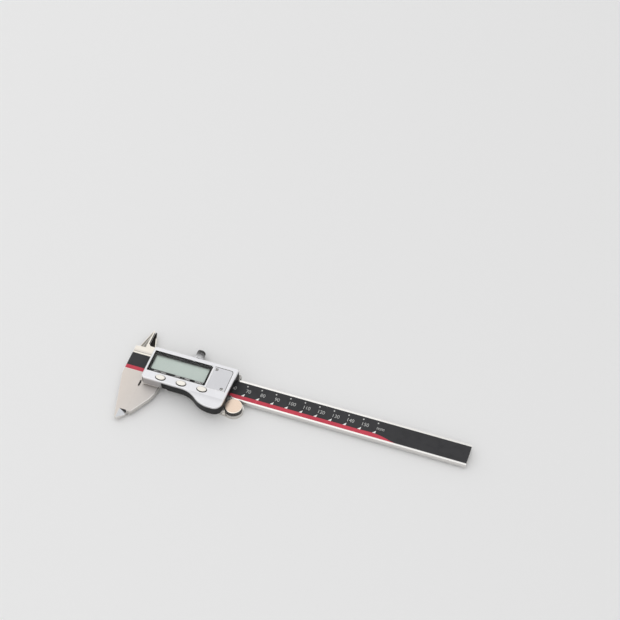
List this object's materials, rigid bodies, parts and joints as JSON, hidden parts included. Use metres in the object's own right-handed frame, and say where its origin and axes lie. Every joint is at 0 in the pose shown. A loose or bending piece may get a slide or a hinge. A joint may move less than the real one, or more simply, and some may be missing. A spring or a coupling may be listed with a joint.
{
  "type": "digital caliper",
  "caption": "Digital caliper with outside and inside jaws, depth rod, sliding display housing with push buttons, battery lid, lock screw and thumb wheel.",
  "frame": {"origin": "under the middle of the whole tool with its jaws closed, on the surface that it lies on", "axes": "+X along the beam towards its free end, +Y towards the inside blades, +Z out of the display"},
  "size_m": [0.2348, 0.0732, 0.0139],
  "materials": {
    "jaw_steel": "fine satin ground steel with bright bevels",
    "slider_steel": "fine satin ground steel",
    "plate_steel": "satin",
    "rod_steel": "ground along its length",
    "screw_steel": "plain",
    "circuit_green": "coated circuit laminate",
    "scale_film": "printed film, dark with a red stripe",
    "gib_brass": "plain",
    "case_plastic": "moulded, fine texture",
    "cover_chrome": "satin chrome with a bright bevel",
    "bezel_plastic": "smooth",
    "lens_clear": "clear",
    "panel_grey": "pale grey-green display",
    "connector_rubber": "plain",
    "chip_black": "plain",
    "cell_steel": "plated",
    "lid_plastic": "silver-grey satin",
    "button_silver": "metallised",
    "wheel_steel": "knurled rim",
    "wheel_cap_metal": "satin, warm",
    "lock_chrome": "knurled head",
    "wiper_rubber": "felt-like"
  },
  "bodies": {
    "beam": {"beam": "jaw_steel", "scale_circuit": "circuit_green", "scale_label": "scale_film", "end_plate": "plate_steel", "end_plate_screws": "screw_steel"},
    "slider": {"slider_frame": "slider_steel", "rod_screws": "screw_steel", "cover_screws": "screw_steel", "board_screws": "screw_steel", "gib_screws": "screw_steel", "battery_cover_screws": "screw_steel", "circuit_board": "circuit_green", "sensor_plate": "circuit_green", "gib_strip": "gib_brass", "battery_contact": "gib_brass", "depth_rod": "rod_steel", "inner_case": "case_plastic", "front_cover": "cover_chrome", "display_bezel": "bezel_plastic", "display_lens": "lens_clear", "display_panel": "panel_grey", "display_connectors": "connector_rubber", "measuring_chip": "chip_black", "button_switches": "chip_black", "battery_cell": "cell_steel", "battery_cover": "lid_plastic", "wheel_pin": "screw_steel", "dust_wipers": "wiper_rubber"},
    "thumb_wheel": {"thumb_wheel": "wheel_steel", "wheel_cap": "wheel_cap_metal"},
    "lock_screw": {"lock_screw": "lock_chrome"},
    "unit_button": {"unit_button": "button_silver"},
    "power_button": {"power_button": "button_silver"},
    "zero_button": {"zero_button": "button_silver"}
  },
  "joints": [
    {"name": "slider_travel", "type": "slide", "parent": "beam", "child": "slider", "axis": [1, 0, 0], "range_m": [0, 0.15]},
    {"name": "wheel_roll", "type": "hinge", "parent": "slider", "child": "thumb_wheel", "pos_m": [-0.0378, -0.0048, 0.0039], "axis": [0, 0, 1], "range_deg": [0, 1495]},
    {"name": "lock_turn", "type": "hinge", "parent": "slider", "child": "lock_screw", "pos_m": [-0.074, 0.023, 0.0034], "axis": [0, -1, 0], "range_deg": [-90, 180]},
    {"name": "unit_button_press", "type": "slide", "parent": "slider", "child": "unit_button", "axis": [0, 0, -1], "range_m": [0, 0.0004], "stiffness_N_per_m": 300},
    {"name": "power_button_press", "type": "slide", "parent": "slider", "child": "power_button", "axis": [0, 0, -1], "range_m": [0, 0.0004], "stiffness_N_per_m": 300},
    {"name": "zero_button_press", "type": "slide", "parent": "slider", "child": "zero_button", "axis": [0, 0, -1], "range_m": [0, 0.0004], "stiffness_N_per_m": 300}
  ],
  "couplings": [
    {"joint": "wheel_roll", "follows": "slider_travel", "rad_per_m": 173.91}
  ]
}
